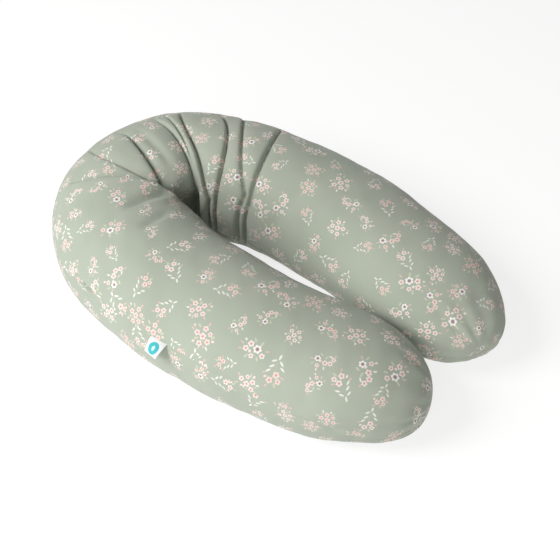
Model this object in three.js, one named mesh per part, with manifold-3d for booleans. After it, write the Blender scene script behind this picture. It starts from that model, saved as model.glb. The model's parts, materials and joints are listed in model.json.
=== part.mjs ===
// Nursing pillow: a fibre-filled casing in a printed cover, bent into a U that lies flat.
// Millimetres, +Z up. The bend is at +Y and the arms run towards -Y; the left arm is at -X.
// The origin is the middle of the base of the pillow's box.
//
// A place on the pillow is given by three numbers: how far along the outer seam it lies from the
// middle of the bend (negative on the left arm), the angle round the section (0 at the outermost
// line, 90 on top, 180 at the innermost line, 270 underneath), and how deep it is under the cover.

import * as THREE from 'three';
import { mergeVertices } from 'three/addons/utils/BufferGeometryUtils.js';
import Module from 'manifold-3d';

const wasm = await Module();
wasm.setup();
const { degToRad, lerp, smoothstep } = THREE.MathUtils;

// ---------------------------------------------------------------- driving dimensions

// Plan, measured along the outer seam line
const creaseRadius = 10; // round the inside of the bend
const armRadius = 880; // along each arm
const bendEnd = 232; // where the bend's arc ends
const armStart = 450; // where the arm's arc starts
const leftLength = 980; // from the middle of the bend to the left tip
const rightLength = 1002;
const bendWidth = 239; // across the tube
const armWidth = 240;
const tipWidth = 202; // what the width tapers towards, before the tip is rounded
const taperStart = 368;
const tipLength = 189; // the rounded end
const tipFullness = 2.3; // 2 is an ellipse, more is blunter
const bendRadius = creaseRadius + Math.max(bendWidth, armWidth); // round the back of the U

// Section
const bendHeight = 182;
const armHeight = 170;
const noseHeight = 66; // the middle of the tip, above the floor
const lowerFullness = 0.585; // below 1 the lower half has fuller sides than an ellipse
const footSpread = 1.035; // above 1 the underside rests on a flat strip
const outerSeamAngle = 19; // round the bend
const leftSeamFall = 28; // the left arm's outer seam falls this far towards its tip
const leftFallStart = 620;
const leftFallEnd = 960;
const zipSeamFall = 11; // the right arm's outer seam lies this much lower where the zip is
const zipFallStart = 250;
const zipFallEnd = 500;
const innerSeamAngle = 192;
const footHalfAngle = 18; // the flat strip, to each side of straight down

// Layers
const coverWall = 2;
const casingWall = 1.6;
const clearance = 0.4;
const casingClearance = 0.75; // under the cover, where the zip's slider runs

// Flex lines, where each arm leaves the bend
const flexLine = 490;
const flexGap = 0.6;

// Zip, in the outer seam of the right arm
const zipStart = 556; // along the outer seam
const zipLength = 260;
const tapeWidth = 8;
const tapeThickness = 0.8;
const coilWidth = 1.9;
const coilThickness = 1.6;
const coilSpacing = 0.6; // half the slot between the two coils
const slotClearance = 0.65; // between each tape and its panel
const stopLength = 3;
const sliderLength = 12;
const sliderWidth = 8.4;
const plateThickness = 0.9;
const plateClearance = 0.3;
const bridgeLength = 8;
const bridgeHeight = 3.2;
const bridgeWidth = 2.4;
const bridgeThickness = 1;
const pullLength = 28;
const pullWidth = 7;
const pullThickness = 1.2;

// Side label, folded and caught in the outer seam of the left arm
const labelPlace = 543; // along the outer seam, on the left
const labelWidth = 30;
const labelDrop = 32;
const labelThickness = 1.2;

// Fineness of the curved surfaces
const bendSteps = 20;
const armSteps = 6;
const tipSteps = 7;

// ---------------------------------------------------------------- materials

function finish(color, roughness, metalness = 0) {
  return new THREE.MeshStandardMaterial({ color, roughness, metalness });
}
const printedCotton = finish(0xa7afa1, 0.9);
const whiteCotton = finish(0xeeece6, 0.9);
const fibre = finish(0xf6f5f2, 1);
const zipTape = finish(0xa9b2a4, 0.85);
const zipCoil = finish(0xb4bcae, 0.5);
const zipMetal = finish(0xb9bcbd, 0.3, 1);
const wovenLabel = finish(0xf4f4f2, 0.8);

// ---------------------------------------------------------------- plan and section

// The outer seam line, walked in short steps from the middle of the bend to the right tip
const walkStep = 1;
const outerLine = [{ x: 0, y: 0, heading: 0 }];
for (let s = walkStep / 2; s < Math.max(leftLength, rightLength); s += walkStep) {
  const last = outerLine.at(-1);
  const curvature = lerp(1 / bendRadius, 1 / armRadius, smoothstep(s, bendEnd, armStart));
  const middle = last.heading + (curvature * walkStep) / 2;
  outerLine.push({
    x: last.x + walkStep * Math.cos(middle),
    y: last.y - walkStep * Math.sin(middle),
    heading: last.heading + curvature * walkStep,
  });
}

function onOuterLine(s) {
  const i = Math.min(Math.floor(s / walkStep), outerLine.length - 2);
  const t = s / walkStep - i;
  const [a, b] = [outerLine[i], outerLine[i + 1]];
  return { x: lerp(a.x, b.x, t), y: lerp(a.y, b.y, t), heading: lerp(a.heading, b.heading, t) };
}

// A width or height that changes from the bend to the arm and then tapers towards the tip
function along(s, length, atBend, atArm) {
  const taper = Math.max(0, (s - taperStart) / (length - taperStart)) ** 2;
  return lerp(atBend, atArm, smoothstep(s, 0, armStart)) * (1 - (1 - tipWidth / armWidth) * taper);
}

// 1 along the tube, falling to 0 at the tip
function roundingAt(s, length, depth) {
  const t = Math.min(1, Math.max(0, s - length + tipLength) / (tipLength - depth));
  return (1 - t ** tipFullness) ** (1 / tipFullness);
}

// The point at a place on the pillow; lift keeps the upper panels clear of the lower ones
function place(signedLength, angle, depth, lift = 0) {
  const s = Math.abs(signedLength);
  const side = signedLength < 0 ? -1 : 1;
  const length = side < 0 ? leftLength : rightLength;
  const { x, y, heading } = onOuterLine(s);
  const rounding = roundingAt(s, length, depth);
  const width = along(s, length, bendWidth, armWidth);
  const height = along(s, length, bendHeight, armHeight);
  const cos = Math.cos(degToRad(angle));
  const sin = Math.sin(degToRad(angle));
  const inwards = width / 2 - (width / 2 - depth) * rounding * cos;
  const high = noseHeight + (height - depth - noseHeight) * rounding ** 0.9;
  const low = noseHeight - (noseHeight - depth) * rounding ** 0.9;
  const share = sin >= 0
    ? 0.5 + 0.5 * sin
    : Math.max(0, 0.5 - 0.5 * footSpread * Math.abs(sin) ** lowerFullness);
  return new THREE.Vector3(
    side * (x - Math.sin(heading) * inwards),
    y - Math.cos(heading) * inwards,
    lerp(low, high, share) + lift,
  );
}

// The outer seam's angle at a place along it
function outerSeamAt(s) {
  return s < 0
    ? outerSeamAngle - leftSeamFall * smoothstep(-s, leftFallStart, leftFallEnd)
    : outerSeamAngle - zipSeamFall * smoothstep(s, zipFallStart, zipFallEnd);
}

// Degrees round the section that cover a length on the surface at the outer seam
function seamDegrees(s, length) {
  const angle = outerSeamAt(s);
  return length / place(s, angle + 1, 0).distanceTo(place(s, angle, 0));
}

// ---------------------------------------------------------------- solids from grids of points

function closedMesh(triangles) {
  const corners = triangles.filter(([a, b, c]) => !a.equals(b) && !b.equals(c) && !c.equals(a)).flat();
  const geometry = new THREE.BufferGeometry().setFromPoints(corners);
  return mergeVertices(geometry, 1e-4);
}

function quad(a, b, c, d) {
  return [[a, b, c], [a, c, d]];
}

// A sheet with thickness between two grids of points, rows along the tube and columns round it
function sheet(outer, inner) {
  const rows = outer.length - 1;
  const columns = outer[0].length - 1;
  const faces = [];
  for (let i = 0; i < rows; i++) {
    for (let j = 0; j < columns; j++) {
      faces.push(...quad(outer[i][j], outer[i][j + 1], outer[i + 1][j + 1], outer[i + 1][j]));
      faces.push(...quad(inner[i][j], inner[i + 1][j], inner[i + 1][j + 1], inner[i][j + 1]));
    }
    faces.push(...quad(outer[i][0], outer[i + 1][0], inner[i + 1][0], inner[i][0]));
    faces.push(...quad(
      outer[i][columns], inner[i][columns], inner[i + 1][columns], outer[i + 1][columns],
    ));
  }
  for (let j = 0; j < columns; j++) {
    faces.push(...quad(outer[0][j], inner[0][j], inner[0][j + 1], outer[0][j + 1]));
    faces.push(...quad(outer[rows][j], outer[rows][j + 1], inner[rows][j + 1], inner[rows][j]));
  }
  return closedMesh(faces);
}

// A solid bar through a row of closed rings, with its ends filled
function bar(rings) {
  const last = rings.length - 1;
  const count = rings[0].length;
  const middle = (ring) => ring.reduce((sum, p) => sum.add(p), new THREE.Vector3()).divideScalar(count);
  const [startMiddle, endMiddle] = [middle(rings[0]), middle(rings[last])];
  const faces = [];
  for (let j = 0; j < count; j++) {
    const k = (j + 1) % count;
    for (let i = 0; i < last; i++) {
      faces.push(...quad(rings[i][j], rings[i][k], rings[i + 1][k], rings[i + 1][j]));
    }
    if (!rings[0][j].equals(rings[0][k])) faces.push([startMiddle, rings[0][k], rings[0][j]]);
    if (!rings[last][j].equals(rings[last][k])) faces.push([endMiddle, rings[last][j], rings[last][k]]);
  }
  return closedMesh(faces);
}

function spread(from, to, steps) {
  return Array.from({ length: steps + 1 }, (_, i) => lerp(from, to, i / steps));
}

// ---------------------------------------------------------------- stations along the tube

const zipEnd = zipStart + zipLength;

// Rows are closer together towards the tip, where the tube rounds off
function armStations(length) {
  const tipStart = length - tipLength;
  const straight = spread(flexLine + flexGap / 2, tipStart, armSteps);
  const turns = spread(0, Math.PI / 2, tipSteps).slice(1, -1);
  return [...straight, ...turns.map((turn) => tipStart + tipLength * Math.sin(turn)), length];
}

// The zip's slot starts and ends between two stations set close together
function zipStations(stations) {
  const slotStep = 1;
  const marks = [zipStart - slotStep, zipStart, zipEnd, zipEnd + slotStep];
  const nearMark = (s) => marks.some((mark) => Math.abs(s - mark) < 8);
  return [...stations.filter((s) => !nearMark(s)), ...marks].sort((a, b) => a - b);
}

const bodies = {
  bend: spread(-flexLine + flexGap / 2, flexLine - flexGap / 2, bendSteps),
  left_arm: armStations(leftLength).map((s) => -s).reverse(),
  right_arm: zipStations(armStations(rightLength)),
};

// ---------------------------------------------------------------- angles round the section

const upperAngles = (s) => spread(outerSeamAt(s), innerSeamAngle, 8);
const lowerAngles = (s) => [
  ...spread(innerSeamAngle, 270 - footHalfAngle, 2),
  ...spread(270 + footHalfAngle, 360 + outerSeamAt(s), 4),
];
const ringAngles = (s) => [...upperAngles(s), ...lowerAngles(s).slice(1, -1)];

function slotDegrees(s) {
  const halfSlot = coilSpacing + coilWidth + clearance + tapeWidth + slotClearance;
  return s >= zipStart && s <= zipEnd ? seamDegrees(s, halfSlot) : 0;
}

function upperPanel(stations, depth, wall, slotted) {
  const grid = (d) => stations.map((s) => upperAngles(s).map((angle, j) => (
    place(s, j === 0 && slotted ? angle + slotDegrees(s) : angle, d, clearance)
  )));
  return sheet(grid(depth), grid(depth + wall));
}

function lowerPanel(stations, depth, wall, slotted) {
  const grid = (d) => stations.map((s) => lowerAngles(s).map((angle, j, { length }) => (
    place(s, j === length - 1 && slotted ? angle - slotDegrees(s) : angle, d)
  )));
  return sheet(grid(depth), grid(depth + wall));
}

// ---------------------------------------------------------------- the pillow

const pillow = new THREE.Group();

function add(parent, name, geometry, material) {
  const mesh = new THREE.Mesh(geometry, material);
  mesh.name = name;
  parent.add(mesh);
  return mesh;
}

const casingDepth = coverWall + casingClearance;
const fillingDepth = casingDepth + casingWall + clearance;

for (const [body, stations] of Object.entries(bodies)) {
  const slotted = body === 'right_arm';
  add(pillow, `cover_top_${body}`, upperPanel(stations, 0, coverWall, slotted), printedCotton);
  add(pillow, `cover_bottom_${body}`, lowerPanel(stations, 0, coverWall, slotted), printedCotton);
  add(pillow, `casing_top_${body}`, upperPanel(stations, casingDepth, casingWall, false), whiteCotton);
  add(pillow, `casing_bottom_${body}`, lowerPanel(stations, casingDepth, casingWall, false), whiteCotton);
  const rings = stations.map((s) => ringAngles(s).map((angle) => place(s, angle, fillingDepth)));
  add(pillow, `filling_${body}`, bar(rings), fibre);
}

// ---------------------------------------------------------------- side label

function sideLabel() {
  const stations = spread(-labelPlace - labelWidth / 2, -labelPlace + labelWidth / 2, 4);
  const drop = seamDegrees(-labelPlace, labelDrop);
  const start = seamDegrees(-labelPlace, clearance);
  const angles = spread(outerSeamAngle - drop, outerSeamAngle - start, 4);
  const grid = (depth) => stations.map((s) => angles.map((angle) => place(s, angle, depth)));
  return sheet(grid(-clearance - labelThickness), grid(-clearance));
}
add(pillow, 'side_label', sideLabel(), wovenLabel);

// ---------------------------------------------------------------- zip

const onSeam = (s) => place(s, outerSeamAt(s), 0);

// How far the seam lies inside the outer line, in plan
function seamInset(s) {
  const { x, y } = onOuterLine(s);
  const seam = onSeam(s);
  return Math.hypot(seam.x - x, seam.y - y);
}

// The zip runs on an arc of its own, in a plane that falls a little towards the tip. Its group has
// the arc's centre at the origin, +X towards the zip's middle and +Z up.
const zipFrom = onSeam(zipStart);
const zipTo = onSeam(zipEnd);
const halfway = (zipStart + zipEnd) / 2;
const zipMiddle = onOuterLine(halfway);
const outwards = new THREE.Vector3(Math.sin(zipMiddle.heading), Math.cos(zipMiddle.heading), 0);
const zipChord = zipFrom.clone().sub(zipTo);
const backwards = zipChord.clone().addScaledVector(outwards, -zipChord.dot(outwards)).normalize();
const zipUp = outwards.clone().cross(backwards);
const zipRadius = armRadius - seamInset(halfway);
const zipCentre = zipFrom.clone().add(zipTo).divideScalar(2);
zipCentre.addScaledVector(outwards, -Math.sqrt(zipRadius ** 2 - zipChord.lengthSq() / 4));

const zip = new THREE.Group();
zip.position.copy(zipCentre);
zip.setRotationFromMatrix(new THREE.Matrix4().makeBasis(outwards, backwards, zipUp));
pillow.add(zip);

// Across the zip, up the surface, and out of it
const lean = new THREE.Vector3().subVectors(
  place(halfway, outerSeamAt(halfway) + 1, 0),
  place(halfway, outerSeamAt(halfway) - 1, 0),
);
const leanAngle = Math.atan2(lean.z, lean.dot(outwards));
const zipHalfAngle = zipChord.length() / zipRadius / 2;

function zipPoint(angle, across, out) {
  const r = zipRadius + across * Math.cos(leanAngle) + out * Math.sin(leanAngle);
  const z = across * Math.sin(leanAngle) - out * Math.cos(leanAngle);
  return new THREE.Vector3(r * Math.cos(angle), r * Math.sin(angle), z);
}

// A strip along the zip, between two places across it and two along it, from its middle surface
function zipStrip(acrossFrom, acrossTo, thickness, alongFrom, alongTo, steps) {
  const [near, far] = [Math.min(acrossFrom, acrossTo), Math.max(acrossFrom, acrossTo)];
  const rings = spread(alongTo / zipRadius, alongFrom / zipRadius, steps).map((angle) => [
    zipPoint(angle, near, thickness / 2),
    zipPoint(angle, far, thickness / 2),
    zipPoint(angle, far, -thickness / 2),
    zipPoint(angle, near, -thickness / 2),
  ]);
  return bar(rings);
}

const zipHalf = zipHalfAngle * zipRadius - clearance;
const coilFrom = -zipHalf + stopLength + clearance;
const coilTo = zipHalf - stopLength - clearance;
const tapeEdge = coilSpacing + coilWidth + clearance;

for (const [half, up] of [['upper', 1], ['lower', -1]]) {
  const tape = zipStrip(
    up * tapeEdge, up * (tapeEdge + tapeWidth), tapeThickness, -zipHalf, zipHalf, 12,
  );
  add(zip, `zip_tape_${half}`, tape, zipTape);
  const coil = zipStrip(
    up * coilSpacing, up * (coilSpacing + coilWidth), coilThickness, coilFrom, coilTo, 12,
  );
  add(zip, `zip_coil_${half}`, coil, zipCoil);
  const stop = zipStrip(
    up * coilSpacing, up * (coilSpacing + coilWidth), coilThickness, zipHalf - stopLength, zipHalf, 1,
  );
  add(zip, `zip_top_stop_${half}`, stop, zipMetal);
}
const stopReach = coilSpacing + coilWidth;
const bottomStop = zipStrip(-stopReach, stopReach, coilThickness, -zipHalf, -zipHalf + stopLength, 1);
add(zip, 'zip_bottom_stop', bottomStop, zipMetal);

// The slider stands at the closed end. In its group +X points out of the fabric, +Y back along the
// zip towards the bend and +Z up the surface.
const slider = new THREE.Group();
const parkedAngle = (coilTo - sliderLength / 2 - clearance) / zipRadius;
const sliderOut = zipPoint(parkedAngle, 0, 1).sub(zipPoint(parkedAngle, 0, 0)).normalize();
const sliderUp = zipPoint(parkedAngle, 1, 0).sub(zipPoint(parkedAngle, 0, 0)).normalize();
slider.position.copy(zipPoint(parkedAngle, 0, 0));
slider.setRotationFromMatrix(
  new THREE.Matrix4().makeBasis(sliderOut, sliderUp.clone().cross(sliderOut), sliderUp),
);
zip.add(slider);

function block(fromX, toX, lengthY, widthZ, y = 0, z = 0) {
  const geometry = new THREE.BoxGeometry(toX - fromX, lengthY, widthZ);
  return geometry.translate((fromX + toX) / 2, y, z);
}

function asSolid(geometry) {
  const bare = geometry.clone().deleteAttribute('normal').deleteAttribute('uv');
  const merged = mergeVertices(bare, 1e-4);
  return new wasm.Manifold(new wasm.Mesh({
    numProp: 3,
    vertProperties: new Float32Array(merged.attributes.position.array),
    triVerts: new Uint32Array(merged.index.array),
  }));
}

function asGeometry(solid) {
  const { vertProperties, triVerts } = solid.getMesh();
  const geometry = new THREE.BufferGeometry();
  geometry.setAttribute('position', new THREE.BufferAttribute(vertProperties, 3));
  geometry.setIndex(new THREE.BufferAttribute(triVerts, 1));
  return geometry;
}

function joined(...geometries) {
  return asGeometry(geometries.map(asSolid).reduce((whole, solid) => whole.add(solid)));
}

const plateNear = coilThickness / 2 + plateClearance;
const plateFar = plateNear + plateThickness;
const bridgeTop = plateFar + bridgeHeight;
const join = 0.2; // how far parts of one piece run into each other

const sliderBody = joined(
  block(plateNear, plateFar, sliderLength, sliderWidth),
  block(-plateFar, -plateNear, sliderLength, sliderWidth),
  block(-plateNear - join, plateNear + join, sliderLength / 3, (coilSpacing - plateClearance) * 2),
  block(bridgeTop - bridgeThickness, bridgeTop, bridgeLength, bridgeWidth),
  block(plateFar - join, bridgeTop, bridgeThickness, bridgeWidth, (bridgeLength - bridgeThickness) / 2),
  block(plateFar - join, bridgeTop, bridgeThickness, bridgeWidth, -(bridgeLength - bridgeThickness) / 2),
);
add(slider, 'zip_slider', sliderBody, zipMetal);

// The pull hangs from the bridge by a crossbar and lies towards the tip
const pullOut = plateFar + plateClearance + pullThickness / 2;
const eyeLength = bridgeLength / 2 + 2;
const armThickness = (pullWidth - bridgeWidth) / 2 - plateClearance;
const pullNear = pullOut - pullThickness / 2;
const pullFar = pullOut + pullThickness / 2;
const pullTab = joined(
  block(pullNear, pullFar, pullThickness, pullWidth),
  ...[-1, 1].map((up) => block(
    pullNear, pullFar, eyeLength + pullThickness, armThickness,
    -eyeLength / 2, (up * (pullWidth - armThickness)) / 2,
  )),
  block(pullNear, pullFar, pullLength - eyeLength, pullWidth, -(pullLength + eyeLength) / 2),
);
add(slider, 'zip_pull', pullTab, zipMetal);

// ---------------------------------------------------------------- origin

const box = new THREE.Box3().setFromObject(pillow, true); // true measures every corner
const centre = box.getCenter(new THREE.Vector3());
pillow.position.set(-centre.x, -centre.y, -box.min.z);

export default pillow;
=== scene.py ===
import json
import math

import bmesh
import bpy
import numpy as np
from mathutils import Matrix, Vector


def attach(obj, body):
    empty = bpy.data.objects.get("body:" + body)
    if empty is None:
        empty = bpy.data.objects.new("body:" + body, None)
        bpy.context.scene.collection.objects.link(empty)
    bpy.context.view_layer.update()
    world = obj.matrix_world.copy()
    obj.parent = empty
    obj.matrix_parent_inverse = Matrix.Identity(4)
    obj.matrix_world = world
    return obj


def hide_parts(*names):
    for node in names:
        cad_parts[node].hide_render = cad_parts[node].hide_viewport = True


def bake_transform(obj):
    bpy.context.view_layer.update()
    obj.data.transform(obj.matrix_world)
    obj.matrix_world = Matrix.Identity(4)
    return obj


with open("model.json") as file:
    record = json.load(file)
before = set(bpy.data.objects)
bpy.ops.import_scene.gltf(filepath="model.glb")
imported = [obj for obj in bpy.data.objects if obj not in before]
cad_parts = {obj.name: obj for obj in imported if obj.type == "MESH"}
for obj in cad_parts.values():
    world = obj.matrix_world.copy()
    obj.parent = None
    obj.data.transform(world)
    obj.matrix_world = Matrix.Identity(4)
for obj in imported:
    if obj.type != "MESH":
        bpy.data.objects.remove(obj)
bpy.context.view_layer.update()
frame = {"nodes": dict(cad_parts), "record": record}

# Nursing pillow: a printed cover over a casing full of fibre, bent into a U. Metres, +Z up.
# The bend is at +Y and the arms run towards -Y; the left arm is at -X.
#
# A place on the pillow is its length along the outer line from the middle of the bend (negative on
# the left arm), its angle round the section in degrees (0 outermost, 90 on top, 180 innermost,
# 270 underneath) and how deep it is under the cover.

MM = 0.001

# ---------------------------------------------------------------- camera

AIM = Vector((-0.0271, -0.0545, 0.08))
CAMERA_TURN = math.radians(-53.152)
CAMERA_RISE = math.radians(47.3685)
CAMERA_ROLL = math.radians(0.54)
CAMERA_DISTANCE = 1.4969

back = Vector((
    math.sin(CAMERA_TURN) * math.cos(CAMERA_RISE),
    -math.cos(CAMERA_TURN) * math.cos(CAMERA_RISE),
    math.sin(CAMERA_RISE),
))
level = Vector((math.cos(CAMERA_TURN), math.sin(CAMERA_TURN), 0))
right = level * math.cos(CAMERA_ROLL) + back.cross(level) * math.sin(CAMERA_ROLL)
up = back.cross(right)
camera = bpy.data.objects.new("camera", bpy.data.cameras.new("camera"))
camera.data.lens = 58.42
camera.data.sensor_width = 36
bpy.context.scene.collection.objects.link(camera)
camera.matrix_world = Matrix.Translation(AIM + back * CAMERA_DISTANCE) @ (
    Matrix((right, up, back)).transposed().to_4x4()
)
bpy.context.scene.camera = camera

# ---------------------------------------------------------------- sizes, as in the CAD

CENTRE = np.array([-0.899, 396.602, 0]) * MM  # the middle of the back of the bend, in plan
BEND_RADIUS, ARM_RADIUS = 250 * MM, 880 * MM
BEND_END, ARM_START = 232 * MM, 450 * MM
ARM_LENGTH = {-1: 980 * MM, 1: 1002 * MM}
BEND_WIDTH, ARM_WIDTH, TIP_WIDTH = 239 * MM, 240 * MM, 202 * MM
TAPER_START, TIP_LENGTH, TIP_FULLNESS = 368 * MM, 189 * MM, 2.3
BEND_HEIGHT, ARM_HEIGHT, NOSE_HEIGHT = 182 * MM, 170 * MM, 66 * MM
LOWER_FULLNESS, FOOT_SPREAD = 0.585, 1.035
OUTER_SEAM, INNER_SEAM = 19, 192
LEFT_SEAM_FALL = (28, 620 * MM, 960 * MM)  # degrees, and where it starts and ends
ZIP_SEAM_FALL = (11, 250 * MM, 500 * MM)
GIRTH_PER_DEGREE = 1.85 * MM
LABEL_AT, LABEL_WIDTH, LABEL_DROP = -543 * MM, 30 * MM, 32 * MM
LABEL_REACH = 25 * MM  # from the seam to the folded edge, as it stands off the cloth
LABEL_FALL = (0.64, 0.37)  # its share of the drop along the cloth, at its bend side and its tip side
LABEL_LIFT = (9.5 * MM, 22 * MM)  # how far its lower edge stands off the cloth, at the same sides
ZIP_START, ZIP_END = 556 * MM, 816 * MM
ZIP_SLOT = 8.6 * MM  # from the middle of the zip to the folded edge of each panel


def mix(a, b, share):
    """Goes straight from a to b as share goes from 0 to 1."""
    return a + (b - a) * share


def ease(x, start, end):
    """0 before start, 1 after end, and an S-shaped rise between them."""
    t = np.clip((np.asarray(x, float) - start) / (end - start), 0, 1)
    return t * t * (3 - 2 * t)


# The outer line, walked in steps of 1 mm: its curvature eases from the bend's to the arm's
WALK = np.arange(1004) * MM
turning = mix(1 / BEND_RADIUS, 1 / ARM_RADIUS, ease(WALK[:-1] + 0.5 * MM, BEND_END, ARM_START))
HEADING = np.concatenate([[0], np.cumsum(turning * MM)])
halfway = HEADING[:-1] + turning * MM / 2
LINE_X = np.concatenate([[0], np.cumsum(np.cos(halfway) * MM)])
LINE_Y = -np.concatenate([[0], np.cumsum(np.sin(halfway) * MM)])


def across(length, at_bend, at_arm):
    """A width or height: eased from the bend to the arm, then tapered by a square law to the tip."""
    s = np.abs(length)
    end = np.where(length < 0, ARM_LENGTH[-1], ARM_LENGTH[1])
    taper = np.maximum(0, (s - TAPER_START) / (end - TAPER_START)) ** 2
    return mix(at_bend, at_arm, ease(s, 0, ARM_START)) * (1 - (1 - TIP_WIDTH / ARM_WIDTH) * taper)


def place(length, angle, depth):
    """The point at a place: an ellipse-like section carried along the outer line, whose width and
    height shrink to nothing over the tip by a superellipse."""
    length, angle, depth = np.broadcast_arrays(*(np.asarray(v, float) for v in (length, angle, depth)))
    s, side = np.abs(length), np.where(length < 0, -1, 1)
    end = np.where(length < 0, ARM_LENGTH[-1], ARM_LENGTH[1])
    t = np.clip((s - end + TIP_LENGTH) / (TIP_LENGTH - depth), 0, 1)
    rounding = (1 - t ** TIP_FULLNESS) ** (1 / TIP_FULLNESS)
    x, y, heading = (np.interp(s, WALK, values) for values in (LINE_X, LINE_Y, HEADING))
    half = across(length, BEND_WIDTH, ARM_WIDTH) / 2
    height = across(length, BEND_HEIGHT, ARM_HEIGHT)
    cos, sin = np.cos(np.radians(angle)), np.sin(np.radians(angle))
    inwards = half - (half - depth) * rounding * cos
    top = NOSE_HEIGHT + (height - depth - NOSE_HEIGHT) * rounding ** 0.9
    base = NOSE_HEIGHT - (NOSE_HEIGHT - depth) * rounding ** 0.9
    lower = np.maximum(0, 0.5 - 0.5 * FOOT_SPREAD * np.abs(sin) ** LOWER_FULLNESS)
    z = mix(base, top, np.where(sin >= 0, 0.5 + 0.5 * sin, lower))
    plan = np.stack([side * (x - np.sin(heading) * inwards), y - np.cos(heading) * inwards, z], -1)
    plan[..., 2] = np.maximum(plan[..., 2], 0)
    return plan + CENTRE


def outer_seam(length):
    """The outer seam's angle, which falls towards the left tip and, for the zip, on the right arm."""
    fall, start, end = LEFT_SEAM_FALL
    left = fall * ease(-length, start, end)
    fall, start, end = ZIP_SEAM_FALL
    return OUTER_SEAM - np.where(length < 0, left, fall * ease(length, start, end))


def seam_reach(length):
    """Metres on the surface for one degree round the section, at the outer seam."""
    angle = outer_seam(length)
    return np.linalg.norm(place(length, angle + 1, 0) - place(length, angle, 0), axis=-1)


def stretch(length, angle):
    """Metres on the surface for each metre along the outer line: less towards the inside."""
    s = np.abs(length)
    curve = mix(1 / BEND_RADIUS, 1 / ARM_RADIUS, ease(s, BEND_END, ARM_START))
    half = across(length, BEND_WIDTH, ARM_WIDTH) / 2
    return 1 - curve * half * (1 - np.cos(np.radians(angle)))


# ---------------------------------------------------------------- folds

# Each fold: (angle, length in mm) from its outer end to its inner end, depth in mm, then its width
# in mm on the side towards the left tip and on the side towards the right tip
SHARP_FOLDS = [
    ([(50, -147), (89, -158), (122, -130), (160, -100)], 13.0, 2.5, 24),
    ([(46, -50), (83, -81), (107, -112), (125, -124), (160, -120)], 10.0, 3, 15),
    ([(52, 27), (91, 11), (107, -14), (127, -72), (150, -126)], 14.0, 4, 17),
    ([(62, 120), (96, 153), (122, 177), (143, 194), (160, 209)], 13.0, 18, 3),
    ([(56, 146), (96, 171), (122, 196), (150, 222)], 7.0, 8, 3),
    ([(52, 184), (95, 196), (119, 229), (137, 290), (160, 330)], 13.0, 6, 13),
    ([(46, 268), (89, 311), (112, 345), (130, 357), (170, 363)], 10.0, 3, 14),
    ([(34, 314), (65, 335), (107, 381), (120, 407), (140, 436)], 8.5, 3, 12),
    ([(46, 404), (83, 419), (105, 435), (125, 445), (150, 452)], 10.0, 3, 15),
]
SOFT_FOLDS = [
    ([(92, -300), (115, -276), (138, -215)], 7.5, 8, 11),
    ([(90, -379), (104, -376), (122, -365)], 5.0, 7, 10),
    ([(66, 56), (92, 58), (125, 50)], 4.0, 9, 9),
    ([(104, 552), (137, 543), (168, 529)], 3.0, 13, 13),
    ([(70, 640), (100, 620), (140, 600)], 2.0, 15, 15),
    ([(-12, -944), (23, -953), (52, -962)], 1.8, 7, 7),
    ([(20, 930), (60, 945), (110, 950)], 2.0, 8, 8),
]


def fold_line(points, angle):
    """How far along a fold lies at each angle: a smooth curve of the second degree."""
    angles, lengths = np.array(points, float).T
    return np.polyval(np.polyfit(angles, lengths * MM, 2), np.clip(angle, angles[0] - 10, angles[-1]))


def folds(length, angle):
    """Sharp folds dip by an exponential on each side of their line, with a narrow pinch along it, and
    soft ones by a bell curve. All fade out where the cloth turns under."""
    total = np.zeros(np.broadcast(length, angle).shape)
    for kind, rows in (("sharp", SHARP_FOLDS), ("soft", SOFT_FOLDS)):
        for points, depth, width_left, width_right in rows:
            first, last = points[0][0], points[-1][0]
            away = (length - fold_line(points, angle)) * stretch(length, angle)
            width = np.where(away < 0, width_left, width_right) * MM
            if kind == "sharp":
                strength = ease(angle, first - 8, first + 8)
                dip = np.exp(-np.abs(away) / width) * (0.35 + 0.65 * ease(angle, first, first + 50))
                dip = dip + 0.45 * np.exp(-(away / (1.9 * MM)) ** 2)
            else:
                middle, reach = (first + last) / 2, (last - first) / 2
                strength = 1 - ease(np.abs(angle - middle), reach * 0.4, reach * 1.3)
                dip = np.exp(-(away / width) ** 2)
            total -= depth * MM * strength * dip
    return total * (1 - ease(angle, 180, 214))


def waves(points, seed, count, longest, shortest):
    """Smooth unevenness: a sum of sine waves in seeded directions, from -1 to 1 or so."""
    rng = np.random.default_rng(seed)
    total = 0
    for _ in range(count):
        direction = rng.normal(size=3)
        direction /= np.linalg.norm(direction)
        wavelength = math.exp(rng.uniform(math.log(shortest), math.log(longest)))
        total = total + np.sin(points @ direction * (2 * math.pi / wavelength) + rng.uniform(0, 6.3))
    return total / math.sqrt(count)


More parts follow.
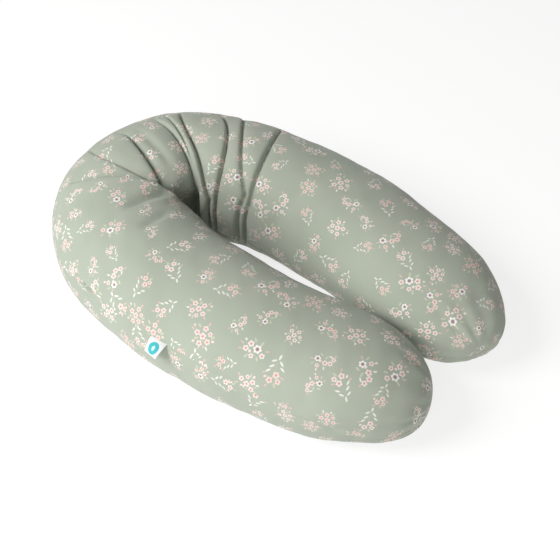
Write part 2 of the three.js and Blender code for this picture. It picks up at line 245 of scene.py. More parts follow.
def relief(length, angle):
    """How far the filled cloth stands proud of its plain shape: folds, unevenness, cloth bunched up
    at the crease, the dip and puckers of each seam as bell curves across it, a gap in the outer
    seam's stitching, smooth cloth by the zip, and gathers round the tips."""
    length, angle = np.broadcast_arrays(length, angle)
    plain = place(length, angle, 0)
    rise = folds(length, angle)
    s, end = np.abs(length), np.where(length < 0, ARM_LENGTH[-1], ARM_LENGTH[1])
    free = 1 - ease(s, end - 20 * MM, end)
    rise = rise + waves(plain, 3, 14, 0.26, 0.11) * 1.1 * MM
    rise = rise + waves(plain, 9, 12, 0.075, 0.03) * 0.4 * MM
    # crumpled cloth on the inside of the bend
    inside = ease(angle, 110, 165) * (1 - ease(angle, 230, 270)) * (1 - ease(s, 0.25, 0.5))
    rise = rise + waves(plain * [1, 1, 0.35], 5, 12, 0.05, 0.018) * inside * 1.6 * MM
    # cloth bunched up where the arms close against each other
    bunched = ease(angle, 125, 172) * (1 - ease(angle, 225, 265)) * ease(plain[..., 1], 0.07, 0.13)
    rise = rise + bunched * 5.5 * MM
    # seams
    over_zip = ease(length, ZIP_START - 6 * MM, ZIP_START)
    over_zip = over_zip * (1 - ease(length, ZIP_END, ZIP_END + 6 * MM))
    seams = ((outer_seam(length), 0.6, 1.8 * MM, 26), (INNER_SEAM, 1.4, 3.2 * MM, 179))
    for seam, dip, width, seed in seams:
        off = np.minimum(np.abs(angle - seam), np.abs(angle - 360 - seam)) * GIRTH_PER_DEGREE
        sewn = 1 - over_zip * (seed == 26)
        pucker = waves(plain, seed, 8, 0.034, 0.013)
        rise = rise - dip * MM * sewn * np.exp(-(off / width) ** 2)
        rise = rise + pucker * 0.5 * MM * np.exp(-off / (9 * MM)) * sewn
    # a gap left in the stitching of the outer seam, for turning the cover right side out
    off = (np.where(angle > 200, angle - 360, angle) - outer_seam(length)) * GIRTH_PER_DEGREE
    mouth = np.exp(-((length + 378 * MM) / (15 * MM)) ** 4)
    rise = rise - 4.8 * MM * mouth * np.exp(-(off / (1.9 * MM)) ** 2)
    rise = rise + 1.3 * MM * mouth * np.exp(-((off + 5 * MM) / (3 * MM)) ** 2)
    # smooth cloth by the zip, where the slider and pull pass, with its folded edges over the tapes
    smooth = ease(length, ZIP_START - 50 * MM, ZIP_START - 10 * MM)
    smooth = smooth * (1 - ease(length, ZIP_END + 38 * MM, ZIP_END + 60 * MM))
    smooth = smooth * np.exp(-(off / (16 * MM)) ** 4)
    edge = 2.3 * MM * over_zip * ease(np.abs(off), 5 * MM, 8 * MM) - 0.4 * MM
    rise = mix(rise, edge, smooth)
    # gathers that run out of each tip
    gathers = np.cos(np.radians(angle) * 13 + 1.3 * np.sin(np.radians(angle) * 3))
    rise = rise + gathers * 1.1 * MM * ease(s, end - 120 * MM, end - 30 * MM)
    return rise * free


# ---------------------------------------------------------------- meshes


def shown(mesh, material):
    """An object at the origin for a mesh, with its material."""
    thing = bpy.data.objects.new(mesh.name, mesh)
    bpy.context.scene.collection.objects.link(thing)
    mesh.materials.append(material)
    return thing


def mesh_of(name, points, quads):
    """A smooth mesh from points and four-cornered faces, where one with a repeated corner becomes a
    triangle."""
    quads = np.asarray(quads)
    again = quads == np.roll(quads, 1, axis=1)
    poled = again.any(1)
    corners = quads[poled][~again[poled]].reshape(-1, 3)
    mesh = bpy.data.meshes.new(name)
    mesh.from_pydata(np.asarray(points).tolist(), [], quads[~poled].tolist() + corners.tolist())
    mesh.shade_smooth()
    return mesh


def grid_quads(index):
    """Faces of a grid of vertex numbers, rows along the tube and columns round it."""
    corners = (index[:-1, :-1], index[:-1, 1:], index[1:, 1:], index[1:, :-1])
    return np.stack(corners, -1).reshape(-1, 4)


def strip_quads(a, b):
    """Faces between two lines of vertex numbers."""
    return np.stack([a[:-1], a[1:], b[1:], b[:-1]], -1)


def shell(name, outer, inner, inside_out=False, pole=False):
    """A closed sheet with thickness between two grids of points, with crisp edges. With pole, the
    last row of each grid is one point."""
    rows, columns = outer.shape[:2]
    top = np.arange(rows * columns).reshape(rows, columns)
    if pole:
        top[-1] = top[-1, 0]
    under = top + rows * columns
    quads = [
        grid_quads(top), grid_quads(under)[:, ::-1],
        strip_quads(top[:, 0], under[:, 0]), strip_quads(under[:, -1], top[:, -1]),
        strip_quads(under[0], top[0]),
    ]
    if not pole:
        quads.append(strip_quads(top[-1], under[-1]))
    quads = np.concatenate(quads)
    points = np.concatenate([outer.reshape(-1, 3), inner.reshape(-1, 3)])
    used, quads = np.unique(quads, return_inverse=True)
    quads = quads.reshape(-1, 4)
    mesh = mesh_of(name, points[used], quads[:, ::-1] if inside_out else quads)
    border = np.zeros(points.shape[0], bool)
    for grid in (top, under):
        border[np.concatenate([grid[0], grid[-1], grid[:, 0], grid[:, -1]])] = True
    layer = (np.arange(points.shape[0]) >= rows * columns)[used]
    border = border[used]
    ends = np.empty(len(mesh.edges) * 2, np.int32)
    mesh.edges.foreach_get("vertices", ends)
    a, b = ends.reshape(-1, 2).T
    crisp = border[a] & border[b] & (layer[a] == layer[b])
    mesh.attributes.new("sharp_edge", "BOOLEAN", "EDGE").data.foreach_set("value", crisp)
    return mesh, used


def corner_values(mesh):
    """The vertex and the face of each corner of a mesh."""
    vertex = np.empty(len(mesh.loops), np.int32)
    mesh.loops.foreach_get("vertex_index", vertex)
    count = np.empty(len(mesh.polygons), np.int32)
    mesh.polygons.foreach_get("loop_total", count)
    return vertex, np.repeat(np.arange(len(count)), count)


def add_map(mesh, name, values):
    """A UV map from one pair of numbers for each corner."""
    mesh.uv_layers.new(name=name).data.foreach_set("uv", np.asarray(values, np.float32).ravel())


# ---------------------------------------------------------------- shader maths


class Field:
    """A number that varies over a surface. Arithmetic on it adds Math nodes."""

    def __init__(self, finish, socket):
        self.finish, self.socket = finish, socket

    def math(self, operation, *others, clamp=False):
        settings = {"operation": operation, "use_clamp": clamp}
        return self.finish.node("ShaderNodeMath", settings, dict(enumerate((self, *others))))

    def __add__(self, other):
        return self.math("ADD", other)

    def __sub__(self, other):
        return self.math("SUBTRACT", other)

    def __mul__(self, other):
        return self.math("MULTIPLY", other)

    __radd__, __rmul__ = __add__, __mul__

    def least(self, other):
        return self.math("MINIMUM", other)

    def most(self, other):
        return self.math("MAXIMUM", other)

    def sine(self):
        return self.math("SINE")

    def between(self, start, end):
        """0 at start, 1 at end and clamped outside; start may be above end."""
        return self.math("MULTIPLY_ADD", 1 / (end - start), -start / (end - start), clamp=True)


class Finish:
    """One material: a Principled shader and the nodes that feed it."""

    def __init__(self, name, **values):
        self.material = bpy.data.materials.new(name)
        self.material.use_nodes = True
        self.tree = self.material.node_tree
        self.shader = self.tree.nodes["Principled BSDF"]
        for key, value in values.items():
            self.shader.inputs[key.replace("_", " ")].default_value = value

    def node(self, kind, settings=None, inputs=None, output=0):
        made = self.tree.nodes.new(kind)
        for key, value in (settings or {}).items():
            setattr(made, key, value)
        for key, value in (inputs or {}).items():
            if isinstance(value, Field):
                self.tree.links.new(value.socket, made.inputs[key])
            else:
                made.inputs[key].default_value = value
        return Field(self, made.outputs[output])

    def feed(self, name, field):
        self.tree.links.new(field.socket, self.shader.inputs[name])

    def mapped(self, name):
        return self.node("ShaderNodeUVMap", {"uv_map": name})

    def attribute(self, name):
        return self.node("ShaderNodeAttribute", {"attribute_name": name}, output="Fac")

    def object_place(self):
        return self.node("ShaderNodeTexCoord", output="Object")

    def noise(self, vector, scale, detail=2.0):
        inputs = {"Vector": vector, "Scale": scale, "Detail": detail}
        return self.node("ShaderNodeTexNoise", None, inputs)

    def blend(self, factor, under, over):
        return self.node(
            "ShaderNodeMix", {"data_type": "RGBA"}, {0: factor, 6: under, 7: over}, output=2
        )

    def moved(self, vector, centre, turn, size):
        """Coordinates with a shape's centre at 0 and its half sizes at 1."""
        return self.node("ShaderNodeMapping", {"vector_type": "TEXTURE"}, {
            "Vector": vector, "Location": (*centre, 0), "Rotation": (0, 0, turn),
            "Scale": (*size, 1),
        })

    def from_middle(self, vector):
        return self.node("ShaderNodeVectorMath", {"operation": "LENGTH"}, {0: vector}, output="Value")

    def bumped(self, height, distance, strength=1.0):
        self.feed("Normal", self.node(
            "ShaderNodeBump", None, {"Height": height, "Distance": distance, "Strength": strength},
        ))

    def weave(self, name, pitch):
        """Threads crossing over and under: two sine waves at right angles, multiplied and added."""
        parts = self.node("ShaderNodeSeparateXYZ", None, {0: self.mapped(name)}, output=0)
        x, y = parts, Field(self, parts.socket.node.outputs[1])
        warp = (x * (2 * math.pi / pitch)).sine()
        weft = (y * (2 * math.pi / pitch)).sine()
        return warp * weft


def colour(red, green, blue):
    """An opaque linear colour from the 0 to 255 values of a screen colour."""
    return (*(((v / 255 + 0.055) / 1.055) ** 2.4 for v in (red, green, blue)), 1)


# ---------------------------------------------------------------- the print

# Four kinds of sprig, laid side by side TILE apart in the print's own plane. In millimetres from
# the sprig's middle. Blooms: x, y, radius, turn, petals. Strokes: x, y, half length, half width,
# turn in degrees.
TILE = 80
BLOOMS = {
    "anemone": [(0, -6, 2, 5.6, 10, 6), (2, 9, -5, 5.0, 50, 6)],
    "blossom": [
        (0, 4, 8, 4.3, 0, 5), (0, 10, 1, 4.1, 40, 5), (0, -14, -6, 3.8, 75, 5), (0, 1, -8, 3.4, 10, 5),
        (1, -8, 7, 4.2, 20, 5), (1, 0, 0, 4.7, 55, 5), (1, 7, 7, 4.1, 5, 5),
        (1, 9, -6, 4.0, 30, 5), (1, -9, -5, 4.1, 80, 5), (1, 0, -11, 3.3, 66, 5),
        (2, -15, 3, 3.8, 15, 5), (2, -8, 8, 4.1, 60, 5), (2, 0, 5, 4.4, 33, 5), (2, 13, 6, 3.4, 3, 5),
        (3, 12, 6, 4.2, 12, 5), (3, 5, -2, 4.4, 66, 5), (3, 13, -5, 3.6, 41, 5),
    ],
}
STROKES = {
    "leaf": [
        (0, -11, 10, 3.8, 1.5, 120), (0, -1, 14, 3.4, 1.4, 60), (0, 8, -9, 3.6, 1.5, -50),
        (0, -8, -11, 3.4, 1.4, -110), (1, -15, 10, 3.4, 1.4, 150), (1, 0, 10, 3.4, 1.5, 80),
        (1, 16, 2, 3.6, 1.4, 15), (1, -5, -14, 3.4, 1.5, -80), (2, -5, -3, 3.6, 1.4, 200),
        (2, 1, -10, 3.6, 1.5, -60), (2, 19, 0, 3.2, 1.3, 30), (3, 18, -1, 3.4, 1.4, -20),
    ],
    "white leaf": [
        (3, -18, -4, 3.8, 1.4, 20), (3, -13, 3, 3.7, 1.3, 70), (3, -10, -7, 3.8, 1.4, -40),
        (3, -6, 5, 3.8, 1.4, 62), (3, -3, -9, 3.6, 1.3, -50), (3, 0, 9, 3.6, 1.3, 58),
        (2, 4, 13, 3.0, 1.2, 70), (2, -12, -3, 3.2, 1.2, 150), (1, -17, -2, 3.0, 1.2, 190),
    ],
    "pink leaf": [
        (0, 16, 8, 3.0, 1.4, 30), (0, 18, 0, 2.8, 1.3, 0), (0, -20, 1, 3.0, 1.4, 170),
        (1, 14, -12, 2.8, 1.4, -40), (1, 14, 12, 2.8, 1.3, 40), (1, -14, 2, 2.6, 1.3, 160),
        (2, 18, -8, 2.8, 1.3, -20), (2, -20, -2, 2.8, 1.3, 200), (3, 19, 10, 2.8, 1.3, 40),
        (3, 8, -10, 2.8, 1.3, -60), (3, 3, 14, 2.6, 1.2, 80),
    ],
    "bud": [
        (0, 4, -2, 2.2, 1.6, -70), (0, 12, 13, 2.1, 1.4, 60), (1, -3, 15, 2.2, 1.5, 100),
        (1, -10, -13, 2.3, 1.6, -110), (1, 18, 9, 2.1, 1.5, 40), (2, 6, 0, 2.2, 1.5, 40),
        (2, 16, 12, 2.1, 1.4, 60), (3, 8, 12, 2.2, 1.5, 60),
    ],
    "stem": [
        (0, 3, 4, 11, 0.4, 28), (0, -9, -2, 8, 0.38, 25), (1, 3, -3, 11, 0.38, -32),
        (1, -6, 1, 10, 0.38, 40), (2, -4, 3, 14, 0.38, -14), (2, 13, -4, 8, 0.38, -25),
        (3, -6, -1, 14, 0.4, 8), (3, 10, 2, 8, 0.38, 40),
    ],
}


def sheen_cotton(name, base):
    """Soft matt cotton with the fuzz that lightens its edges."""
    finish = Finish(name, Roughness=0.86, Sheen_Weight=0.22, Sheen_Roughness=0.45)
    finish.shader.inputs["Specular IOR Level"].default_value = 0.25
    finish.shader.inputs["Base Color"].default_value = base
    return finish


def printed_cotton():
    """Sage cotton with scattered sprigs of small flowers."""
    finish = sheen_cotton("printed_cotton", colour(161, 168, 152))
    sprig = finish.mapped("sprig")
    chance = finish.attribute("sprig_chance")
    petals, hearts = {}, {}
    for kind, rows in BLOOMS.items():
        for tile, x, y, radius, turn, count in rows:
            centre = ((x + tile * TILE) * MM, y * MM)
            spot = finish.moved(sprig, centre, math.radians(turn), (radius * 1.14 * MM,) * 2)
            out = finish.from_middle(spot)
            parts = finish.node("ShaderNodeSeparateXYZ", None, {0: spot})
            high = Field(finish, parts.socket.node.outputs[1])
            lobes = (high.math("ARCTAN2", parts) * count).math("COSINE")
            petal = lobes.math("MULTIPLY_ADD", 0.13, 0.87) - out
            petals[kind] = petals[kind].most(petal) if kind in petals else petal
            hearts[kind] = hearts[kind].least(out) if kind in hearts else out
    strokes = {}
    for kind, rows in STROKES.items():
        for tile, x, y, length, width, turn in rows:
            centre = ((x + tile * TILE) * MM, y * MM)
            out = finish.from_middle(
                finish.moved(sprig, centre, math.radians(turn), (length * MM, width * MM))
            )
            strokes[kind] = strokes[kind].least(out) if kind in strokes else out
    where = finish.object_place()
    tone = finish.noise(where, 7.0)
    ground = finish.blend(tone.between(0.3, 0.7), colour(157, 165, 151), colour(165, 172, 158))
    flecks = finish.noise(finish.mapped("cloth"), 900.0, 1.0)
    ground = finish.blend(flecks.between(0.35, 0.75) * 0.10, ground, colour(184, 189, 176))
    blush = finish.blend(chance.between(0.3, 0.7), colour(226, 217, 211), colour(221, 202, 195))
    layers = [
        (strokes["stem"].between(1.25, 0.7) * 0.5, colour(188, 190, 166)),
        (strokes["leaf"].between(1.15, 0.8) * 0.8, colour(196, 198, 172)),
        (strokes["white leaf"].between(1.15, 0.8) * 0.9, colour(222, 222, 216)),
        (strokes["pink leaf"].between(1.15, 0.8) * 0.85, colour(208, 180, 171)),
        (strokes["bud"].between(1.12, 0.85), blush),
        (petals["blossom"].between(-0.02, 0.1), blush),
        (hearts["blossom"].between(0.6, 0.36) * 0.6, colour(208, 168, 160)),
        (hearts["blossom"].between(0.28, 0.16), colour(188, 134, 126)),
        (petals["anemone"].between(-0.02, 0.08), colour(230, 227, 224)),
        (hearts["anemone"].between(0.52, 0.38), colour(178, 160, 158)),
        (hearts["anemone"].between(0.34, 0.24), colour(146, 126, 123)),
    ]
    for mask, ink in layers:
        ground = finish.blend(mask, ground, ink)
    # painted shade: the base colour is darkened towards a dark sage on the inner side of the bend, where
    # the cavity between the arms lies in shade
    painted_cavity_shade = finish.attribute("painted_cavity_shade")
    finish.feed("Base Color", finish.blend(painted_cavity_shade * 0.5, ground, colour(58, 61, 48)))
    slubs = finish.noise(finish.mapped("cloth"), 420.0, 3.0)
    finish.feed("Roughness", slubs.math("MULTIPLY_ADD", 0.16, 0.78))
    finish.bumped(slubs + finish.weave("cloth", 0.9 * MM) * 0.35, 0.16 * MM)
    return finish.material


def plain_cotton():
    """White casing cotton with a plain weave."""
    finish = sheen_cotton("white_cotton", colour(238, 236, 230))
    tone = finish.noise(finish.mapped("cloth"), 260.0, 2.0)
    finish.feed("Base Color", finish.blend(tone, colour(232, 230, 223), colour(243, 241, 236)))
    finish.bumped(tone + finish.weave("cloth", 1.2 * MM) * 0.4, 0.2 * MM)
    return finish.material


def fibre():
    """White hollow fibre: matted strands."""
    finish = sheen_cotton("fibre", colour(244, 243, 240))
    where = finish.object_place()
    strands = finish.noise(finish.noise(where, 60.0).math("MULTIPLY", 3.0), 4.0)
    tufts = finish.noise(where, 90.0, 4.0)
    finish.feed("Base Color", finish.blend(tufts, colour(234, 233, 229), colour(248, 247, 245)))
    finish.bumped(tufts + strands * 0.5, 1.5 * MM)
    return finish.material


def woven_tape():
    """Sage herringbone tape."""
    finish = sheen_cotton("zip_tape", colour(160, 168, 152))
    parts = finish.node("ShaderNodeSeparateXYZ", None, {0: finish.mapped("cloth")})
    down = Field(finish, parts.socket.node.outputs[1])
    zigzag = (down * (1 / (2.2 * MM))).math("PINGPONG", 1.0) * (1.6 * MM)
    rib = ((parts + zigzag) * (2 * math.pi / (0.9 * MM))).sine()
    finish.feed("Base Color", finish.blend(
        rib.between(-1.0, 1.0), colour(148, 157, 140), colour(170, 178, 162)
    ))
    finish.bumped(rib, 0.15 * MM)
    return finish.material


def nylon():
    """Slightly glossy sage nylon."""
    finish = Finish("zip_coil", Roughness=0.38)
    tone = finish.noise(finish.object_place(), 1500.0)
    finish.feed("Base Color", finish.blend(tone, colour(152, 161, 145), colour(172, 180, 164)))
    finish.feed("Roughness", tone.math("MULTIPLY_ADD", 0.2, 0.3))
    return finish.material


def plated_zinc():
    """Nickel-plated zinc, brushed and a little rubbed."""
    finish = Finish("zip_metal", Metallic=1.0, Roughness=0.28)
    rubbed = finish.noise(finish.object_place(), 420.0, 4.0)
    finish.feed("Base Color", finish.blend(rubbed, colour(176, 177, 176), colour(214, 214, 211)))
    finish.feed("Roughness", rubbed.math("MULTIPLY_ADD", 0.3, 0.16))
    finish.bumped(finish.noise(finish.object_place(), 2200.0), 0.03 * MM)
    return finish.material


def thread():
    """Twisted sage sewing thread."""
    finish = sheen_cotton("sewing_thread", colour(178, 185, 170))
    twist = finish.noise(finish.object_place(), 3000.0)
    finish.feed("Base Color", finish.blend(twist, colour(168, 176, 160), colour(196, 201, 188)))
    finish.bumped(twist, 0.08 * MM)
    return finish.material


def label_satin():
    """White woven satin with a turquoise disc that holds a plain white leaf."""
    finish = Finish("woven_label", Roughness=0.55, Sheen_Weight=0.15)
    spot = finish.mapped("label")
    disc = finish.from_middle(finish.moved(spot, (0, -0.6 * MM), 0, (10 * MM,) * 2))
    leaf_left = finish.from_middle(finish.moved(spot, (-3.0 * MM, -0.6 * MM), 0, (5.6 * MM,) * 2))
    leaf_right = finish.from_middle(finish.moved(spot, (3.0 * MM, -0.6 * MM), 0, (5.6 * MM,) * 2))
    leaf = leaf_left.most(leaf_right)
    vein = finish.from_middle(finish.moved(spot, (0, -2.2 * MM), 0, (0.35 * MM, 4.6 * MM)))
    satin = finish.weave("label", 0.7 * MM)
    white = finish.blend(satin.between(-1.0, 1.0), colour(222, 223, 223), colour(236, 236, 236))
    inked = finish.blend(disc.between(1.03, 0.97), white, colour(44, 178, 186))
    inked = finish.blend(leaf.between(1.04, 0.96), inked, colour(226, 232, 232))
    inked = finish.blend(vein.between(1.3, 0.8), inked, colour(44, 178, 186))
    finish.feed("Base Color", inked)
    finish.bumped(satin, 0.08 * MM)
    return finish.material


COTTON, WHITE_COTTON, FIBRE = printed_cotton(), plain_cotton(), fibre()
TAPE, NYLON, ZINC, THREAD, SATIN = woven_tape(), nylon(), plated_zinc(), thread(), label_satin()

# ---------------------------------------------------------------- cover, casing and filling


def stations(side, depth, spacing):
    """Lengths along one arm, from the middle of the bend to the tip, closer towards the tip."""
    end = ARM_LENGTH[side]
    flex = ARM_START + 40 * MM
    bend = np.linspace(0, flex, round(flex / spacing) + 1)
    straight = np.linspace(flex, end - TIP_LENGTH, round((end - TIP_LENGTH - flex) / spacing / 1.4) + 1)
    turns = np.linspace(0, math.pi / 2, round(TIP_LENGTH / spacing * 1.1) + 1)
    tip = end - TIP_LENGTH + (TIP_LENGTH - depth) * np.sin(turns)
    return side * np.concatenate([[0, 0.4 * MM], bend[1:], straight[1:], tip[1:]])


def panel_angles(length, upper, spacing):
    """Angles across a panel at each length, from seam to seam, closer together by the seams."""
    count = round(180 * GIRTH_PER_DEGREE / spacing)
    t = np.linspace(0, 1, count + 1)
    t = t - 0.07 * np.sin(2 * math.pi * t)
    outer = outer_seam(length)
    return mix(outer, INNER_SEAM, t) if upper else mix(INNER_SEAM, 360 + outer, t)


def slotted(length, angles, upper):
    """The angles at each length, moved aside where the outer seam opens for the zip."""
    open_by = ZIP_SLOT / np.maximum(seam_reach(length), 0.5 * MM)
    inside = ease(length, ZIP_START - 1 * MM, ZIP_START) * (1 - ease(length, ZIP_END, ZIP_END + 1 * MM))
    outer = outer_seam(length)
    share = (INNER_SEAM - angles) / (INNER_SEAM - outer) if upper else (
        (angles - INNER_SEAM) / (360 + outer - INNER_SEAM))
    return angles + (1 if upper else -1) * (open_by * inside) * share ** 6


def panel_grids(side, upper, depth, wall, spacing, slot_open=False):
    """Outer and inner grid of points of one half of a panel, and its lengths and angles."""
    grids = []
    for deep in (depth, depth + wall):
        length = stations(side, deep, spacing)[:, None]
        if slot_open:
            marks = np.array([[ZIP_START - 1 * MM], [ZIP_START], [ZIP_END], [ZIP_END + 1 * MM]])
            length = np.sort(np.concatenate([length, marks * side]), axis=0)[::side]
        angles = panel_angles(length, upper, spacing)
        if slot_open:
            angles = slotted(length, angles, upper)
        rise = relief(length, angles)
        extra = np.maximum(0, -rise) * 0.25 * (depth > 0)
        points = place(length, angles, deep - rise + extra)
        points[-1] = place(length[-1], OUTER_SEAM, deep)
        grids.append(points)
        if deep == depth:
            plain, lengths, turned = place(length, angles, 0), length + 0 * angles, angles
    return grids[0], grids[1], plain, lengths, turned


def scattered(points, spacing, rng):
    """Places for sprigs: points taken in a seeded order, none nearer than spacing to another."""
    left = points[rng.permutation(len(points))]
    chosen = []
    while len(left):
        chosen.append(left[0])
        left = left[np.linalg.norm(left - left[0], axis=1) > spacing]
    return np.array(chosen)


def lay_print(meshes, seed):
    """Gives each face of a panel's two halves its nearest sprig, and each corner its place in that
    sprig's own plane, so that sprigs keep their shape round the bend."""
    rng = np.random.default_rng(seed)
    everywhere = np.concatenate([plain for _, plain in meshes])
    middles = scattered(everywhere[rng.permutation(len(everywhere))[:9000]], 38.5 * MM, rng)
    count = len(middles)
    kinds, spins = rng.integers(0, 4, count), rng.uniform(0, 2 * math.pi, count)
    flips, sizes, chances = rng.choice([-1, 1], count), rng.uniform(0.76, 1.16, count), rng.random(count)
    for mesh, plain in meshes:
        normals = np.empty(len(mesh.vertices) * 3, np.float32)
        mesh.vertex_normals.foreach_get("vector", normals)
        normals = normals.reshape(-1, 3)
        vertex, face = corner_values(mesh)
        totals = np.bincount(face)
        centres = np.stack([np.bincount(face, plain[vertex, k]) / totals for k in range(3)], -1)
        nearest = np.empty(len(centres), int)
        for part in np.array_split(np.arange(len(centres)), 40):
            away = ((centres[part, None] - middles[None]) ** 2).sum(-1)
            nearest[part] = away.argmin(1)
        closest = np.array([((plain - m) ** 2).sum(1).argmin() for m in middles])
        normal = normals[closest]
        aside = np.cross(normal, [0.31, 0.22, 0.92])
        aside /= np.linalg.norm(aside, axis=1)[:, None]
        along = np.cross(normal, aside)
        first = aside * np.cos(spins)[:, None] + along * np.sin(spins)[:, None]
        second = np.cross(normal, first) * flips[:, None]
        own = nearest[face]
        offset = (plain[vertex] - middles[own]) / sizes[own][:, None]
        u = (offset * first[own]).sum(1)
        v = (offset * second[own]).sum(1)
        reach = np.linalg.norm(offset, axis=1)
        flat = np.maximum(np.hypot(u, v), 1e-9)
        u, v = u * reach / flat, v * reach / flat
        add_map(mesh, "sprig", np.stack([u + kinds[own] * TILE * MM, v], -1))
        mesh.attributes.new("sprig_chance", "FLOAT", "FACE").data.foreach_set("value", chances[nearest])


SIDES = {-1: "left", 1: "right"}
ARM_BODY = {-1: "left_arm", 1: "right_arm"}


def bent(piece):
    """Bakes the piece's transform into its mesh and leaves the piece at the origin."""
    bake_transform(piece)


def cloth_map(mesh, lengths, angles, used):
    """The cloth's own map, in metres along the tube and round it."""
    both = np.stack([lengths, angles * GIRTH_PER_DEGREE], -1).reshape(-1, 2)
    both = np.concatenate([both, both])[used]
    add_map(mesh, "cloth", both[corner_values(mesh)[0]])


LAYERS = {
    "cover": (0, 1.5 * MM, 2.6 * MM, COTTON, "printed_cotton"),
    "casing": (3.2 * MM, 0.9 * MM, 5 * MM, WHITE_COTTON, "white_cotton"),
}
for layer, (depth, wall, spacing, material, slot) in LAYERS.items():
    for upper, panel in ((True, "top"), (False, "bottom")):
        printed = []
        for side, name in SIDES.items():
            open_zip = layer == "cover" and side == 1
            outer, inner, plain, lengths, angles = panel_grids(
                side, upper, depth, wall, spacing, open_zip)
            mesh, used = shell(f"{layer}_{panel}_{name}", outer, inner, side < 0, pole=True)
            cloth_map(mesh, lengths, angles, used)
            flat_points = np.concatenate([plain.reshape(-1, 3)] * 2)[used]
            # painted shade: a mask from 0 to 1 over the inner side of the bend, where the cavity lies in
            # shade; the printed cotton darkens its base colour by it
            inside = ease(angles, 112, 165) * (1 - ease(angles, 240, 275))
            inside = inside * ease(plain[..., 1], -0.16, 0.1)
            deep = np.concatenate([inside.ravel()] * 2)[used]
            mesh.attributes.new("painted_cavity_shade", "FLOAT", "POINT").data.foreach_set("value", deep)
            printed.append((mesh, flat_points))
            piece = shown(mesh, material)
            stands_for = [ARM_BODY[side]] + (["bend"] if side < 0 else [])
            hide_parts(*(f"{layer}_{panel}_{body}" for body in stands_for))
            bent(piece)
            rows = np.linalg.norm(np.diff(plain, axis=0), axis=-1)
            columns = np.linalg.norm(np.diff(plain, axis=1), axis=-1)
        if layer == "cover":
            lay_print(printed, 11 if upper else 12)

for side, name in SIDES.items():
    length = stations(side, 6.5 * MM, 7 * MM)[:, None]
    around = np.concatenate([panel_angles(length, upper, 7 * MM)[:, :-1] for upper in (True, False)], 1)
    rise = relief(length, around)
    rings = place(length, around, 6.5 * MM - rise + np.maximum(0, -rise) * 0.5)
    rings[-1] = rings[-1, 0]
    rows, columns = rings.shape[:2]
    index = np.arange(rows * columns).reshape(rows, columns)
    index[-1] = index[-1, 0]
    index = np.concatenate([index, index[:, :1]], axis=1)
    centre = rows * columns
    cap = np.stack([index[0, :-1], np.full(columns, centre), np.full(columns, centre), index[0, 1:]], -1)
    quads = np.concatenate([grid_quads(index), cap])
    points = np.concatenate([rings.reshape(-1, 3), rings[0].mean(0)[None]])
    used, quads = np.unique(quads, return_inverse=True)
    quads = quads.reshape(-1, 4)
    mesh = mesh_of(f"filling_{name}", points[used], quads if side > 0 else quads[:, ::-1])
    piece = shown(mesh, FIBRE)
    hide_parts(f"filling_{ARM_BODY[side]}", *(["filling_bend"] if side < 0 else []))
    bent(piece)

# ---------------------------------------------------------------- side label


def side_label():
    """A folded tag that hangs from the seam: two grids on the cover's surface, which stands
    off the cloth in proportion to the distance from the seam, and more on its tip side."""
    across_label, down = np.meshgrid(np.linspace(-1, 1, 25), np.linspace(0, 1, 27), indexing="ij")
    length = LABEL_AT + across_label * LABEL_WIDTH / 2
    tipward = (1 - across_label) / 2
    angle = OUTER_SEAM - down * mix(*LABEL_FALL, tipward) * LABEL_DROP / seam_reach(LABEL_AT)
    lift = mix(0.4 * MM, 1.0 * MM, ease(down, 0, 0.25)) + mix(*LABEL_LIFT, tipward) * down
    lift = lift + 0.5 * MM * np.sin(down * 5 + across_label * 2) * down
    rise = relief(length, angle) * (1 - 0.4 * down)
    sink = 1.2 * MM * (1 - ease(down, 0, 0.08))
    thick = mix(0.9 * MM, 0.35 * MM, ease(down, 0.9, 1.0)) + 0.5 * MM * down * (1 - ease(down, 0.8, 1.0))
    outer = place(length, angle, -(rise + lift + thick) + sink)
    inner = place(length, angle, -(rise + lift) + sink)
    mesh, used = shell("folded_label", outer, inner, inside_out=True)
    spots = np.stack([-across_label * LABEL_WIDTH / 2, (0.5 - down) * LABEL_REACH], -1).reshape(-1, 2)
    spots = np.concatenate([spots, spots])[used]
    add_map(mesh, "label", spots[corner_values(mesh)[0]])
    piece = shown(mesh, SATIN)
    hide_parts("side_label")
    bent(piece)


side_label()

# ---------------------------------------------------------------- zip

zip_joint = next(j for j in frame["record"]["behaviour"]["joints"] if j["name"] == "zip_slider_travel")
ZIP_CENTRE = np.array(zip_joint["pos_m"])
ZIP_UP = -np.array(zip_joint["axis"])
ZIP_UP /= np.linalg.norm(ZIP_UP)
halfway_along = (ZIP_START + ZIP_END) / 2
zip_angle = float(outer_seam(halfway_along))
reach = place(halfway_along, zip_angle, 0) - ZIP_CENTRE
reach -= ZIP_UP * (reach @ ZIP_UP)
ZIP_RADIUS = float(np.linalg.norm(reach))
ZIP_OUT = reach / ZIP_RADIUS
ZIP_BACK = np.cross(ZIP_UP, ZIP_OUT)
tangent = place(halfway_along, zip_angle + 1, 0) - place(halfway_along, zip_angle - 1, 0)
ZIP_LEAN = math.atan2(tangent[2], tangent @ ZIP_OUT)
ZIP_HALF = 129.3 * MM
TOOTH_PITCH = 1.3 * MM


def zip_place(along, over, out):
    """The point along the zip's arc, over its tape and out of it, all in metres."""
    along, over, out = np.broadcast_arrays(along, over, out)
    turn = along / ZIP_RADIUS
    r = ZIP_RADIUS + over * math.cos(ZIP_LEAN) + out * math.sin(ZIP_LEAN)
    z = over * math.sin(ZIP_LEAN) - out * math.cos(ZIP_LEAN)
    return (
        ZIP_CENTRE
        + (r * np.cos(turn))[..., None] * ZIP_OUT
        + (r * np.sin(turn))[..., None] * ZIP_BACK
        + z[..., None] * ZIP_UP
    )


